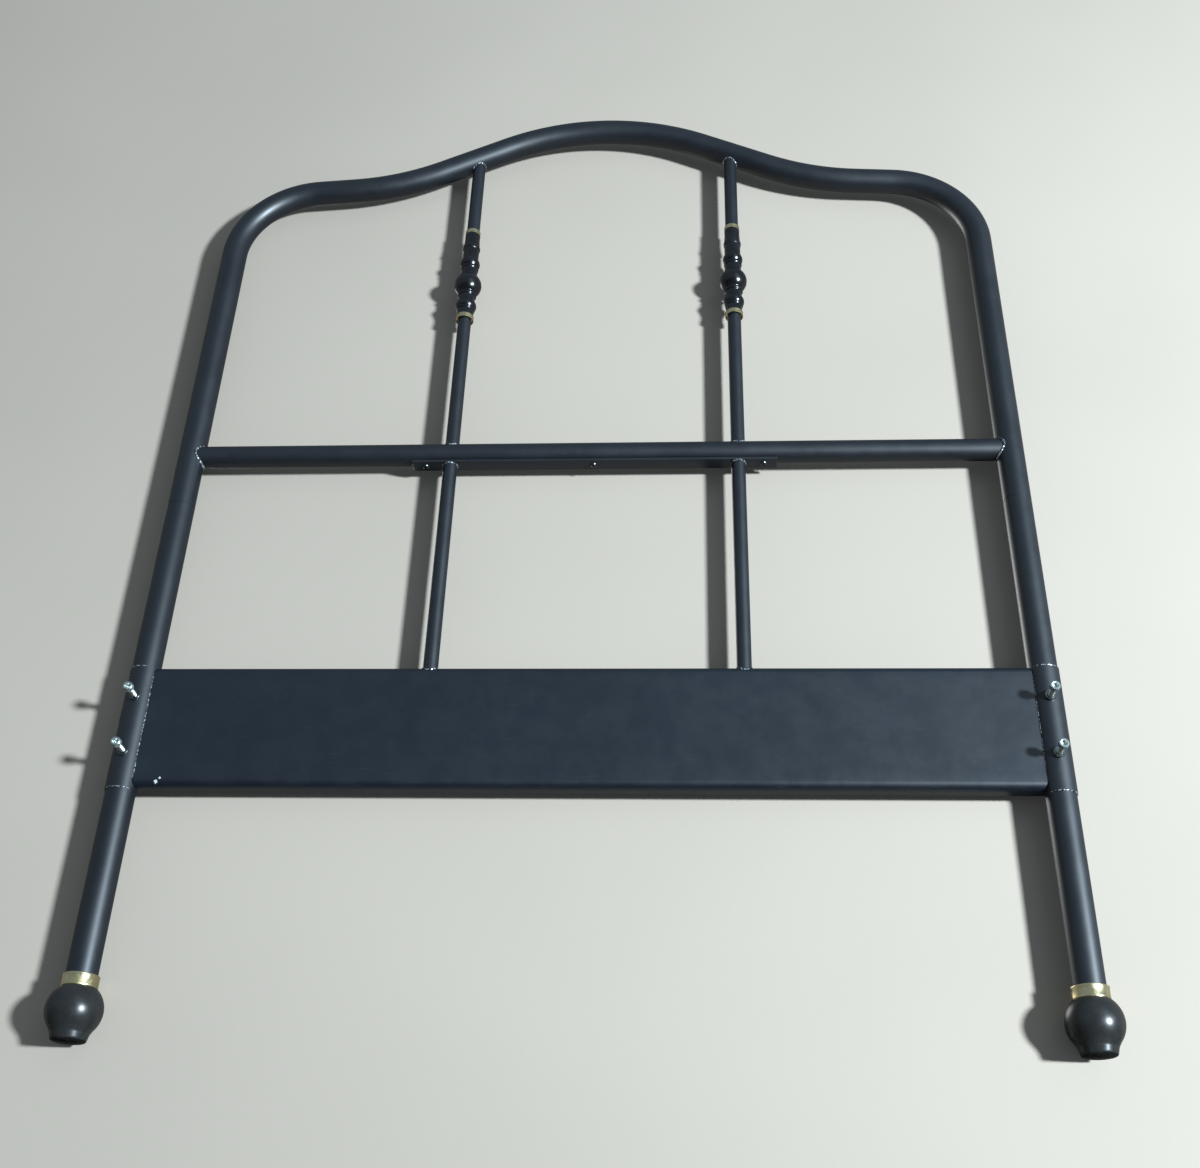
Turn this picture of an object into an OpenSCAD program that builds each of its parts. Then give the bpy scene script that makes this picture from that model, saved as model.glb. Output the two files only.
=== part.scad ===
// Single-bed headboard: arched tube hoop on plug-in legs, with spindles, ornaments and a folded panel.
// Origin on the floor midway between the feet; X across the bed, -Y towards the mattress, Z up.

/* [Legs and hoop] */
// Distance between the two leg centre lines
leg_spacing = 930; // [900:5:960]
// Outside diameter of the leg and hoop tube
tube_d = 30; // [28:0.5:31]
// Wall of the leg and hoop tube
tube_wall = 1.5; // [1.2:0.1:2]
// Height of the hoop centre line at the crown
crown_h = 1185; // [1150:5:1220]
// Height of the plug-in joint between hoop and lower legs
joint_h = 590; // [560:5:620]
// Centre-line radius of the crown bend
crown_r = 290; // [260:5:310]
// Slope of the straight flank beside the crown
flank_angle = 26; // [22:1:28]
// Length of the straight flank
flank_len = 92; // [80:2:100]
// Centre-line radius of the hollow bend below the flank
valley_r = 300; // [280:5:310]
// Slope of the shoulder
shoulder_angle = 4; // [2:1:6]
// Centre-line radius of the bend from shoulder to leg
corner_r = 105; // [90:5:110]
// Length of the hidden joint spigot
spigot_len = 80; // [60:5:100]

/* [Mid rail] */
// Outside diameter of the mid rail
rail_d = 25; // [22:0.5:28]
// Wall of the mid rail and the spindles
thin_wall = 1.2; // [1:0.1:1.5]
// Height of the mid rail centre line
rail_h = 660; // [650:2:670]

/* [Spindles and ornaments] */
// Outside diameter of the spindles
spindle_d = 16; // [15:0.5:16]
// Distance of each spindle from the middle
spindle_x = 163; // [155:1:170]
// Height of the lower end of the ornament, at its cup ring
ornament_h = 860.5; // [840:0.5:880]
// Diameter of the main ball of the ornament
ornament_ball_d = 33; // [31:0.5:36]
// Diameter of the cup ring
cup_ring_d = 21.6; // [21:0.2:24]
// Height of the cup ring
cup_ring_h = 6.5; // [5:0.5:9]
// Diameter of the upper ring
top_ring_d = 18.8; // [18:0.2:21]
// Height of the upper ring
top_ring_h = 6; // [5:0.5:10]

/* [Panel] */
// Height of the panel's lower edge
panel_bottom = 249; // [240:1:250]
// Height of the panel's face
panel_h = 134.5; // [130:0.5:140]
// Depth of the panel's flanges
panel_depth = 18; // [16:0.5:20]
// Thickness of the panel sheet
sheet_t = 1.2; // [0.8:0.1:1.5]
// Outside radius of the panel's folds
fold_r = 8; // [4:0.5:8]
// Thickness of the saddle plate around each leg
saddle_t = 1; // [0.8:0.1:1.5]
// Height of the saddle plate's lower edge
saddle_low = 245.5; // [242:0.5:250]
// Height of the saddle plate itself
saddle_h = 135.5; // [130:0.5:140]

/* [Tie strip] */
// Length of the strip under the mid rail
strip_len = 412; // [405:1:420]
// Width of the strip
strip_w = 18; // [16:1:20]
// Thickness of the strip
strip_t = 3; // [2:0.5:4]
// Distance of the outer strip screws from the middle
strip_screw_x = 191; // [185:1:198]

/* [Rail bolts] */
// Height of the lower rail bolts
bolt_h = 284; // [280:1:290]
// Distance between the two rail bolts of a leg
bolt_pitch = 62; // [55:1:66]
// Diameter of the bolt shank
bolt_d = 6; // [6:1:6]
// Length of the bolt under its head
bolt_len = 30; // [28:1:30]
// Diameter of the cap head
head_d = 10; // [9.5:0.5:10.5]
// Height of the cap head
head_h = 6; // [5:0.5:6]
// Width across the flats of the hexagon socket
socket_af = 5; // [4:0.5:5]
// Depth of the hexagon socket
socket_depth = 3; // [2.5:0.5:4]
// Open gap between washer and head with the bolt as it stands
head_gap = 14.55; // [13:0.05:14.6]
// Diameter of the washer
washer_d = 12; // [11.5:0.5:13]
// Thickness of the washer
washer_t = 1.6; // [1.2:0.1:1.6]

/* [Feet] */
// Diameter of the ball foot
ball_d = 52.8; // [50:0.4:56]
// Height of the ball's centre
ball_h = 28.2; // [27:0.2:29]
// Diameter of the base the foot stands on
base_d = 32.6; // [31:0.2:33.4]
// Height of the foot, where the leg tube starts
foot_h = 48; // [47:0.5:49]
// Outside diameter of the foot collar
collar_d = 34.8; // [34:0.2:37]
// Height of the foot collar
collar_h = 12; // [10:0.5:14]
// Length of the stem inside the leg tube
stem_len = 40; // [30:1:45]

/* [Hidden] */
$fn = 96;
tube_r = tube_d / 2;
rail_r = rail_d / 2;
spindle_r = spindle_d / 2;
leg_x = leg_spacing / 2;

// Clearance between nested parts that stay fixed, and of the bolt thread in its insert
fit_gap = 0.05;
cut = 1;

// Each straight of the hoop runs into its neighbouring bends by lap and is a hair thicker there
lap = 1;
lap_t = 0.05;

// Hoop centre line on the right-hand side, from the crown outwards, as [x, z]
crown_c = [0, crown_h - crown_r];
flank_start = crown_c + crown_r * [sin(flank_angle), cos(flank_angle)];
flank_end = flank_start + flank_len * [cos(flank_angle), -sin(flank_angle)];
valley_c = flank_end + valley_r * [sin(flank_angle), cos(flank_angle)];
shoulder_start = valley_c - valley_r * [sin(shoulder_angle), cos(shoulder_angle)];
corner_x = leg_x - corner_r;
shoulder_run = corner_x + corner_r * sin(shoulder_angle) - shoulder_start[0];
shoulder_len = shoulder_run / cos(shoulder_angle);
shoulder_end = shoulder_start + shoulder_len * [cos(shoulder_angle), -sin(shoulder_angle)];
corner_c = [corner_x, shoulder_end[1] - corner_r * cos(shoulder_angle)];
spindle_top = flank_start[1] - (spindle_x - flank_start[0]) * tan(flank_angle);

// Panel and its meeting with the legs
panel_top = panel_bottom + panel_h;
panel_front = panel_depth / 2;
panel_half = leg_x - sqrt(tube_r * tube_r - panel_front * panel_front);
saddle_in = tube_r + fit_gap;
saddle_out = saddle_in + saddle_t;
saddle_inner_angle = acos((panel_front + 0.3) / saddle_in);

// Tie strip and its screws
strip_top = rail_h - rail_r;
strip_bottom = strip_top - strip_t;
screw_r = 2;
screw_len = 9;
screw_head_r = 4;
screw_head_h = 2.4;
screw_x = [-strip_screw_x, 0, strip_screw_x];

// Ornament stations, as heights above its lower end
ornament_low = cup_ring_h;
ornament_high = 140;

// Rail inserts, washers and bolts, as distances in front of the leg centre line
insert_r = 4.5;
insert_flange_r = 5.7;
insert_flange_t = 0.8;
insert_len = 13;
insert_hole_r = insert_r + 0.1;
flange_front = saddle_out + insert_flange_t;
washer_front = flange_front + washer_t;
washer_bore_r = 3.3;
head_under = washer_front + head_gap;
bolt_tip_chamfer = 1;
bolt_levels = [bolt_h, bolt_h + bolt_pitch];

// Hollow of the foot stem
stem_r = tube_r - tube_wall - 0.1;
stem_bore_r = 10;
stem_bore_h = foot_h + 4;

// View: "all" or one sub-part

// Ring section of a tube
module annulus(r, wall) {
    difference() {
        circle(r);
        circle(r - wall);
    }
}

// Upright tube between two heights
module upright_tube(r, wall, z0, z1) {
    translate([0, 0, z0])
        linear_extrude(z1 - z0)
            annulus(r, wall);
}

// Bent piece of hoop tube in the XZ plane, about [x, z], from angle a0 to a1
module hoop_bend(c, r, a0, a1) {
    translate([c[0], 0, c[1]])
        rotate([90, 0, 0])
            rotate_extrude(angle = a1 - a0, start = a0)
                translate([r, 0])
                    annulus(tube_r, tube_wall);
}

// Placement along a straight of the hoop, starting at [x, z] and falling by the given angle
module along_fall(p, fall) {
    translate([p[0], 0, p[1]])
        rotate([0, 90 + fall, 0])
            children();
}

// Straight piece of hoop tube between two bends
module hoop_straight(p, fall, len) {
    along_fall(p, fall)
        translate([0, 0, -lap])
            linear_extrude(len + 2 * lap)
                annulus(tube_r + lap_t, tube_wall + 2 * lap_t);
}

// Everything of the hoop on one side of the crown bend
module hoop_side() {
    hoop_straight(flank_start, flank_angle, flank_len);
    hoop_bend(valley_c, valley_r, 270 - flank_angle, 270 - shoulder_angle);
    hoop_straight(shoulder_start, shoulder_angle, shoulder_len);
    hoop_bend(corner_c, corner_r, 0, 90 - shoulder_angle);
    translate([leg_x, 0, 0])
        upright_tube(tube_r + lap_t, tube_wall + 2 * lap_t, joint_h, corner_c[1] + lap);
}

// One bent tube: crown, hollow flanks, rounded shoulders and the upper legs
module hoop_tube() {
    color("#20242b") {
        hoop_bend(crown_c, crown_r, 90 - flank_angle, 90 + flank_angle);
        hoop_side();
        mirror([1, 0, 0])
            hoop_side();
    }
}

// Solid bars that stand for the legs and the flank when other parts are cut to meet them
module leg_bars(r) {
    for (side = [-1, 1])
        translate([side * leg_x, 0, 0])
            cylinder(h = crown_h, r = r);
}

module flank_bar() {
    along_fall(flank_start, flank_angle)
        cylinder(h = flank_len, r = tube_r + lap_t);
}

// Solid bar along the mid rail
module rail_bar(r, half) {
    translate([-half, 0, rail_h])
        rotate([0, 90, 0])
            cylinder(h = 2 * half, r = r);
}

// Straight tube between the legs, its ends cut to sit against them, drilled below for the strip screws
module mid_rail() {
    color("#20242b")
        difference() {
            rail_bar(rail_r, leg_x);
            rail_bar(rail_r - thin_wall, leg_x + cut);
            leg_bars(tube_r + lap_t);
            for (x = screw_x)
                translate([x, 0, strip_bottom])
                    cylinder(h = rail_r, r = screw_r + fit_gap);
        }
}

// Right-hand upper spindle, cut to the mid rail below and the hoop flank above
module upper_spindle() {
    difference() {
        translate([spindle_x, 0, 0])
            upright_tube(spindle_r, thin_wall, rail_h, spindle_top);
        rail_bar(rail_r, leg_x);
        flank_bar();
    }
}

module upper_spindle_left() {
    color("#20242b")
        mirror([1, 0, 0])
            upper_spindle();
}

module upper_spindle_right() {
    color("#20242b")
        upper_spindle();
}

// Half section of the turned ornament: bulges, beads and the main ball on a thin neck
module ornament_section() {
    translate([0, ornament_low])
        square([9.8, 39]);
    translate([9.4, ornament_low + 10.7])
        circle(1.6);
    translate([4.5, ornament_low + 17])
        circle(8);
    translate([9.2, ornament_low + 33.5])
        circle(2.2);
    translate([0, ornament_low + 50.5])
        circle(d = ornament_ball_d);
    translate([0, ornament_low + 63])
        square([9.9, 20]);
    translate([9.3, ornament_low + 76.6])
        circle(1.7);
    translate([3.6, ornament_low + 85.5])
        circle(8.5);
    translate([0, ornament_low + 89])
        square([9.7, 22]);
    translate([4.8, ornament_low + 111])
        circle(6);
    polygon([[0, ornament_low + 109], [10.2, ornament_low + 111], [9.2, ornament_low + 126],
        [9.3, ornament_high], [0, ornament_high]]);
}

module ornament_solid() {
    translate([0, 0, ornament_h])
        difference() {
            rotate_extrude()
                intersection() {
                    ornament_section();
                    square([ornament_ball_d, ornament_high]);
                }
            cylinder(h = ornament_high + cut, r = spindle_r + fit_gap);
        }
}

module ornament_left() {
    color("#15171b")
        translate([-spindle_x, 0, 0])
            ornament_solid();
}

module ornament_right() {
    color("#15171b")
        translate([spindle_x, 0, 0])
            ornament_solid();
}

// Plain ring above the ornament
module top_ring() {
    translate([0, 0, ornament_h + ornament_high])
        linear_extrude(top_ring_h)
            annulus(top_ring_d / 2, top_ring_d / 2 - spindle_r - fit_gap);
}

module ornament_top_ring_left() {
    color("#c9a64f")
        translate([-spindle_x, 0, 0])
            top_ring();
}

module ornament_top_ring_right() {
    color("#c9a64f")
        translate([spindle_x, 0, 0])
            top_ring();
}

// Cup-shaped ring below the ornament, open downwards around the spindle
module cup_ring() {
    cup_wall = 1;
    cup_depth = 4;
    translate([0, 0, ornament_h])
        difference() {
            cylinder(h = cup_ring_h, r = cup_ring_d / 2);
            translate([0, 0, -cut])
                cylinder(h = cup_ring_h + 2 * cut, r = spindle_r + fit_gap);
            translate([0, 0, -cut])
                cylinder(h = cup_depth + cut, r = cup_ring_d / 2 - cup_wall);
        }
}

module ornament_cup_ring_left() {
    color("#c9a64f")
        translate([-spindle_x, 0, 0])
            cup_ring();
}

module ornament_cup_ring_right() {
    color("#c9a64f")
        translate([spindle_x, 0, 0])
            cup_ring();
}

// Holes through the front of a leg for its rail inserts
module insert_holes() {
    for (z = bolt_levels)
        translate([0, 0, z])
            rotate([90, 0, 0])
                cylinder(h = tube_d, r = insert_hole_r);
}

// Leg tube from the ball foot up to the plug-in joint
module lower_leg() {
    difference() {
        upright_tube(tube_r, tube_wall, foot_h, joint_h);
        insert_holes();
    }
}

module lower_leg_left() {
    color("#20242b")
        translate([-leg_x, 0, 0])
            lower_leg();
}

module lower_leg_right() {
    color("#20242b")
        translate([leg_x, 0, 0])
            lower_leg();
}

// Hidden spigot, fixed in the lower leg, that the hoop plugs onto
module leg_spigot() {
    upright_tube(tube_r - tube_wall - lap_t - fit_gap, tube_wall, joint_h - spigot_len / 2,
        joint_h + spigot_len / 2);
}

module leg_spigot_left() {
    color("#8d9298")
        translate([-leg_x, 0, 0])
            leg_spigot();
}

module leg_spigot_right() {
    color("#8d9298")
        translate([leg_x, 0, 0])
            leg_spigot();
}

// Half-round fronted block seen from the panel's end: depth w, height h, front folds of radius r
module folded_block(w, h, r) {
    translate([r, 0])
        square([w - r, h]);
    translate([0, r])
        square([w, h - 2 * r]);
    translate([r, r])
        circle(r);
    translate([r, h - r])
        circle(r);
}

// Outline of the panel with its hollow filled
module panel_outline() {
    translate([-panel_front, panel_bottom])
        folded_block(panel_depth, panel_h, fold_r);
}

// Section of the folded sheet: face in front, rounded folds, two flanges, open at the back
module panel_section() {
    difference() {
        panel_outline();
        translate([sheet_t - panel_front, panel_bottom + sheet_t])
            folded_block(panel_depth, panel_h - 2 * sheet_t, fold_r - sheet_t);
    }
}

// Placement of the panel's section from leg to leg
module across_bed() {
    rotate([90, 0, 90])
        translate([0, 0, -panel_half])
            linear_extrude(2 * panel_half)
                children();
}

// Folded sheet across the bed, its ends cut to sit against the legs
module panel() {
    color("#272d36")
        difference() {
            across_bed()
                panel_section();
            leg_bars(tube_r + fit_gap);
        }
}

// Thin plate wrapped around the front of the right-hand leg beside the panel, drilled for the inserts
module leg_saddle() {
    translate([leg_x, 0, 0])
        difference() {
            translate([0, 0, saddle_low])
                rotate_extrude(angle = 90 + saddle_inner_angle, start = 270 - saddle_inner_angle)
                    translate([saddle_in, 0])
                        square([saddle_t, saddle_h]);
            insert_holes();
        }
}

module leg_saddle_left() {
    color("#20242b")
        mirror([1, 0, 0])
            leg_saddle();
}

module leg_saddle_right() {
    color("#20242b")
        leg_saddle();
}

// Right-hand lower spindle, from the tie strip down to the panel's upper fold and flange
module lower_spindle() {
    difference() {
        translate([spindle_x, 0, 0])
            upright_tube(spindle_r, thin_wall, panel_top - fold_r, strip_bottom);
        across_bed()
            panel_outline();
    }
}

module lower_spindle_left() {
    color("#20242b")
        mirror([1, 0, 0])
            lower_spindle();
}

module lower_spindle_right() {
    color("#20242b")
        lower_spindle();
}

// Flat strip that joins the lower spindles and is screwed to the underside of the mid rail
module tie_strip() {
    color("#20242b")
        difference() {
            translate([-strip_len / 2, -strip_w / 2, strip_bottom])
                cube([strip_len, strip_w, strip_t]);
            for (x = screw_x)
                translate([x, 0, strip_bottom - cut])
                    cylinder(h = strip_t + 2 * cut, r = screw_r + fit_gap);
        }
}

module tie_strip_screws() {
    color("#c8ccd0")
        for (x = screw_x)
            translate([x, 0, strip_bottom - screw_head_h]) {
                cylinder(h = screw_head_h, r1 = screw_head_r - 1, r2 = screw_head_r);
                cylinder(h = screw_head_h + screw_len, r = screw_r);
            }
}

// Placement at every rail bolt: local +Z points out of the front of the leg
module at_bolts() {
    for (side = [-1, 1])
        for (z = bolt_levels)
            translate([side * leg_x, 0, z])
                rotate([90, 0, 0])
                    children();
}

// Threaded inserts in the leg fronts; the thread is a plain bore
module rail_inserts() {
    color("#a9adb3")
        at_bolts()
            difference() {
                union() {
                    translate([0, 0, flange_front - insert_flange_t])
                        cylinder(h = insert_flange_t, r = insert_flange_r);
                    translate([0, 0, flange_front - insert_len])
                        cylinder(h = insert_len, r = insert_r);
                }
                cylinder(h = 2 * tube_r, r = bolt_d / 2 + fit_gap);
            }
}

module bolt_washers() {
    color("#c8ccd0")
        at_bolts()
            translate([0, 0, flange_front])
                linear_extrude(washer_t)
                    annulus(washer_d / 2, washer_d / 2 - washer_bore_r);
}

// Cap-head bolt with a hexagon socket, standing part-way out of its insert
module rail_bolt(side, z) {
    color("#c8ccd0")
        translate([side * leg_x, 0, z])
            rotate([90, 0, 0])
                difference() {
                    union() {
                        translate([0, 0, head_under])
                            cylinder(h = head_h, r = head_d / 2);
                        translate([0, 0, head_under - bolt_len + bolt_tip_chamfer])
                            cylinder(h = bolt_len, r = bolt_d / 2);
                        translate([0, 0, head_under - bolt_len])
                            cylinder(h = bolt_tip_chamfer, r1 = bolt_d / 2 - bolt_tip_chamfer,
                                r2 = bolt_d / 2);
                    }
                    translate([0, 0, head_under + head_h - socket_depth])
                        cylinder(h = socket_depth + cut, r = socket_af / 2 / cos(30), $fn = 6);
                }
}

module rail_bolt_left_upper() {
    rail_bolt(-1, bolt_levels[1]);
}

module rail_bolt_left_lower() {
    rail_bolt(-1, bolt_levels[0]);
}

module rail_bolt_right_upper() {
    rail_bolt(1, bolt_levels[1]);
}

module rail_bolt_right_lower() {
    rail_bolt(1, bolt_levels[0]);
}

// Collar around the bottom of the leg tube
module foot_collar() {
    upright_tube(collar_d / 2, collar_d / 2 - tube_r - fit_gap, foot_h, foot_h + collar_h);
}

module foot_collar_left() {
    color("#c9a64f")
        translate([-leg_x, 0, 0])
            foot_collar();
}

module foot_collar_right() {
    color("#c9a64f")
        translate([leg_x, 0, 0])
            foot_collar();
}

// Half section of the ball foot: tapered base, ball cut flat on top, stem for the leg tube
module foot_section() {
    base_r = base_d / 2;
    polygon([[0, 0], [base_r - 0.5, 0], [base_r, 0.5], [base_r + 1.6, 7], [base_r + 4.7, 12.5],
        [0, 12.5]]);
    intersection() {
        translate([0, ball_h])
            circle(d = ball_d);
        translate([0, 8])
            square([ball_d, foot_h - 8]);
    }
    translate([0, foot_h - 2])
        square([stem_r, stem_len + 2]);
}

module ball_foot() {
    difference() {
        rotate_extrude()
            foot_section();
        translate([0, 0, stem_bore_h])
            cylinder(h = foot_h + stem_len, r = stem_bore_r);
    }
}

module ball_foot_left() {
    color("#45474a")
        translate([-leg_x, 0, 0])
            ball_foot();
}

module ball_foot_right() {
    color("#45474a")
        translate([leg_x, 0, 0])
            ball_foot();
}

hoop_tube();
mid_rail();
upper_spindle_left();
upper_spindle_right();
ornament_left();
ornament_right();
ornament_top_ring_left();
ornament_top_ring_right();
ornament_cup_ring_left();
ornament_cup_ring_right();
lower_leg_left();
lower_leg_right();
leg_spigot_left();
leg_spigot_right();
panel();
leg_saddle_left();
leg_saddle_right();
lower_spindle_left();
lower_spindle_right();
tie_strip();
tie_strip_screws();
rail_inserts();
bolt_washers();
rail_bolt_left_upper();
rail_bolt_left_lower();
rail_bolt_right_upper();
rail_bolt_right_lower();
foot_collar_left();
foot_collar_right();
ball_foot_left();
ball_foot_right();
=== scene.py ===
"""Looks of a single-bed headboard: bent tube hoop, mid rail, spindles, ornaments, folded panel and feet.

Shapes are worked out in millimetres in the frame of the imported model, with the floor at z = 0 and the
front towards -Y, and are made in metres. Materials, stage, lights and camera are in metres.
"""

import math

import bmesh
import bpy
from mathutils import Matrix, Vector, noise


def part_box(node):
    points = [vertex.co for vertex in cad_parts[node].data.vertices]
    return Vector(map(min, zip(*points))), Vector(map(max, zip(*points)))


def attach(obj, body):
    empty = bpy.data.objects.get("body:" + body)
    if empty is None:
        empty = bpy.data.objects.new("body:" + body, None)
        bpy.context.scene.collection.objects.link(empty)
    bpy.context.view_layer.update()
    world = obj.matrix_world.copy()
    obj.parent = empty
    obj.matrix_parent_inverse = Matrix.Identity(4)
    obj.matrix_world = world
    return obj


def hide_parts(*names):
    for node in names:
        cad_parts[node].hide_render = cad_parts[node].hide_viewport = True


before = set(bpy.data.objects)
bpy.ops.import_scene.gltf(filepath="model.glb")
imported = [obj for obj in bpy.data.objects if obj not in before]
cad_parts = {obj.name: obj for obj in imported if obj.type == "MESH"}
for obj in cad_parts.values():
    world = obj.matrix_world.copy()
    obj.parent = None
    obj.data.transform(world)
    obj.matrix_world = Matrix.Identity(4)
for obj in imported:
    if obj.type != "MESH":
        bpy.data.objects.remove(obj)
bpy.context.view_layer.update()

MM = 0.001
FRAME_BODY = "frame"
SIDES = (("left", -1), ("right", 1))


# ---------------------------------------------------------------- sizes, in millimetres

def node_box(name):
    """Lowest and highest corner of a CAD node, in millimetres."""
    lo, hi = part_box(name)
    return lo / MM, hi / MM


def bolt_tops():
    """Middle of the top of each rail bolt's head, by node name."""
    tops = {}
    for side_name, _ in SIDES:
        for level in ("upper", "lower"):
            node = f"rail_bolt_{side_name}_{level}"
            lo, hi = node_box(node)
            tops[node] = Vector(((lo.x + hi.x) / 2, lo.y, (lo.z + hi.z) / 2))
    return tops


FIT_GAP = 0.05  # clearance of what slides over a tube

# Legs, rail and spindles
leg_lo, leg_hi = node_box("lower_leg_right")
LEG_X = (leg_lo.x + leg_hi.x) / 2
LEG_R = (leg_hi.x - leg_lo.x) / 2
LEG_WALL, THIN_WALL = 1.5, 1.2
FOOT_H, JOINT_H = leg_lo.z, leg_hi.z
rail_lo, rail_hi = node_box("mid_rail")
RAIL_Z = (rail_lo.z + rail_hi.z) / 2
RAIL_R = (rail_hi.z - rail_lo.z) / 2
spindle_lo, spindle_hi = node_box("lower_spindle_right")
SPINDLE_X = (spindle_lo.x + spindle_hi.x) / 2
SPINDLE_R = (spindle_hi.x - spindle_lo.x) / 2
END_ROUND = 0.45  # rounded edge of a tube's end at the leg joints

# Hoop's centre line on its right-hand side: bend radii, the flank's length and the slopes between them
CROWN_R, FLANK_DEG, FLANK_LEN = 290, 26, 92
VALLEY_R, SHOULDER_DEG, CORNER_R = 300, 4, 105
CROWN_H = node_box("hoop_tube")[1].z - LEG_R

# Panel and the saddles that it is welded to; saddle angles are measured from the leg's front
panel_lo, panel_hi = node_box("panel")
PANEL_Z0, PANEL_Z1 = panel_lo.z, panel_hi.z
PANEL_Y = panel_hi.y
SHEET_T, FOLD_R = 1.2, 8.0
PANEL_FACE = PANEL_Z1 - PANEL_Z0 - 2 * FOLD_R
SADDLE_R = LEG_R + FIT_GAP
SADDLE_INNER_DEG, SADDLE_OUTER_DEG = 51.8, 88
saddle_lo, saddle_hi = node_box("leg_saddle_right")

# Tie strip under the rail, with its pan-head screws
strip_lo, strip_hi = node_box("tie_strip")
STRIP_EDGE, STRIP_CORNER_R = 0.5, 0.7
STRIP_SCREW_X = (-191, 0, 191)
SCREW_SHANK_R = 2.0
SCREW_HEAD = ((3.9, 0.0), (4.0, 0.3), (3.8, 1.0), (3.3, 1.75))  # radius, depth below the strip
SCREW_CROSS = ((0.0, 2.1), (1.3, 1.3))  # depth in the head, half length of the arms
SCREW_CROSS_HALF_W = 0.5

# M6 rail bolts, washers and the holes behind them
BOLT_TOPS = bolt_tops()
BOLT_Z = sorted({round(top.z, 2) for top in BOLT_TOPS.values()})
HEAD_R, HEAD_H, HEAD_BEVEL = 5.0, 6.0, 0.9
KNURL_DEPTH = 0.24
SHANK_R, BOLT_LEN = 3.0, 30.0
PITCH, THREAD_DEPTH = 1.0, 0.5
SOCKET_R, SOCKET_DEPTH = 2.5, 3.0
WASHER_R, WASHER_BORE_R, WASHER_T, WASHER_EDGE = 6.0, 3.3, 1.6, 0.3
HOLE_R, HOLE_DEPTH = 4.6, 16
HOLE_BAND = 9  # the leg has a ring of points at each millimetre this far above and below a hole

# Weld beads: radius of each kind
RAIL_BEAD, SPINDLE_BEAD, PANEL_BEAD, SADDLE_BEAD = 1.5, 1.1, 0.75, 0.85
SEAM_STEP = 1.5

# Ornament, by height above its lower end. A bead is the height of its centre, the distance of the
# centre from the axis, and its radius; necks are their upper end and radius; the taper is points.
ORNAMENT_LEN = 133.5
ORNAMENT_BEADS = ((10.7, 9.4, 1.6), (17, 4.5, 8), (33.5, 9.2, 2.2), (50.5, 0, 16.5),
                  (76.6, 9.3, 1.7), (85.5, 3.6, 8.5), (111, 4.8, 6))
ORNAMENT_NECKS = ((39, 9.8), (85, 9.9), (111, 9.7))
ORNAMENT_TAPER = ((109, 10.2 + 2 / 15), (126, 9.2), (ORNAMENT_LEN, 9.3))
ORNAMENT_FILLET = 0.45
CUP_DEPTH = 4.0

# Rolled edges of the ornament's top ring and of the foot collar: inset, distance from the rim
RING_RIM = ((0.45, 0), (0.1, 0.15), (0, 0.45), (0.2, 1.3))
COLLAR_RIM = ((0.9, 0), (0.3, 0.25), (0, 0.95), (0.3, 2.1))

# Ball foot: tapered base as (height, radius) points, a ball cut flat on top, and a hollow stem
FOOT_BASE = ((0, 15.8), (0.5, 16.3), (7, 17.9), (12.5, 21.0))
BALL_Z, BALL_R, BALL_FROM, BALL_TOP = 28.2, 26.4, 8, 48.0
FOOT_STEP, FOOT_FILLET, FOOT_EDGE = 0.35, 1.1, 0.35
STEM_R, STEM_BORE_R, STEM_TOP, STEM_PIT, STEM_EDGE = 13.4, 10.0, 88.0, 52.0, 0.6

SEGMENTS = 72
SHARP_DEG = 38


# ---------------------------------------------------------------- mesh helpers

class Shells:
    """Closed shells gathered into one mesh."""

    def __init__(self):
        self.verts, self.faces = [], []

    def loft(self, rings, closed=False, cap_start=False, cap_end=False):
        """Skin over rings of equal point counts; closed joins the last ring to the first."""
        n, base = len(rings[0]), len(self.verts)
        self.verts += [tuple(p) for ring in rings for p in ring]
        for i in range(len(rings) if closed else len(rings) - 1):
            a, b = base + i * n, base + ((i + 1) % len(rings)) * n
            for j in range(n):
                k = (j + 1) % n
                self.faces.append((a + j, a + k, b + k, b + j))
        if cap_start:
            self.faces.append(tuple(base + j for j in reversed(range(n))))
        if cap_end:
            self.faces.append(tuple(base + (len(rings) - 1) * n + j for j in range(n)))
        return self

    def moved(self, matrix):
        """A copy with every point turned and moved by a 4x4 matrix, in millimetres."""
        other = Shells()
        other.verts = [tuple(matrix @ Vector(v)) for v in self.verts]
        other.faces = list(self.faces)
        return other

    def add(self, other):
        """The other shells joined on."""
        base = len(self.verts)
        self.verts += other.verts
        self.faces += [tuple(base + i for i in face) for face in other.faces]
        return self


def solid_mesh(name, shells):
    """Mesh in metres from shells in millimetres, with all faces turned outwards."""
    mesh = bpy.data.meshes.new(name)
    mesh.from_pydata([tuple(c * MM for c in v) for v in shells.verts], [], shells.faces)
    solid = bmesh.new()
    solid.from_mesh(mesh)
    bmesh.ops.recalc_face_normals(solid, faces=solid.faces)
    solid.to_mesh(mesh)
    solid.free()
    return mesh


def add_object(name, data):
    obj = bpy.data.objects.new(name, data)
    bpy.context.scene.collection.objects.link(obj)
    return obj


def smooth(mesh, sharp=SHARP_DEG):
    """Smooth shading, but for edges that turn by more than the angle."""
    mesh.shade_smooth()
    mesh.set_sharp_from_angle(angle=math.radians(sharp))


def piece(name, shells, material, body=FRAME_BODY, replaces=(), sharp=SHARP_DEG):
    """A mesh object from shells in millimetres, riding on a body."""
    mesh = solid_mesh(name, shells)
    smooth(mesh, sharp)
    mesh.materials.append(material)
    obj = add_object(name, mesh)
    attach(obj, body)
    if replaces:
        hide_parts(*replaces)
    return obj


def turn(i, n=SEGMENTS):
    """Angle of point i out of n around a circle."""
    return 2 * math.pi * i / n


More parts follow.
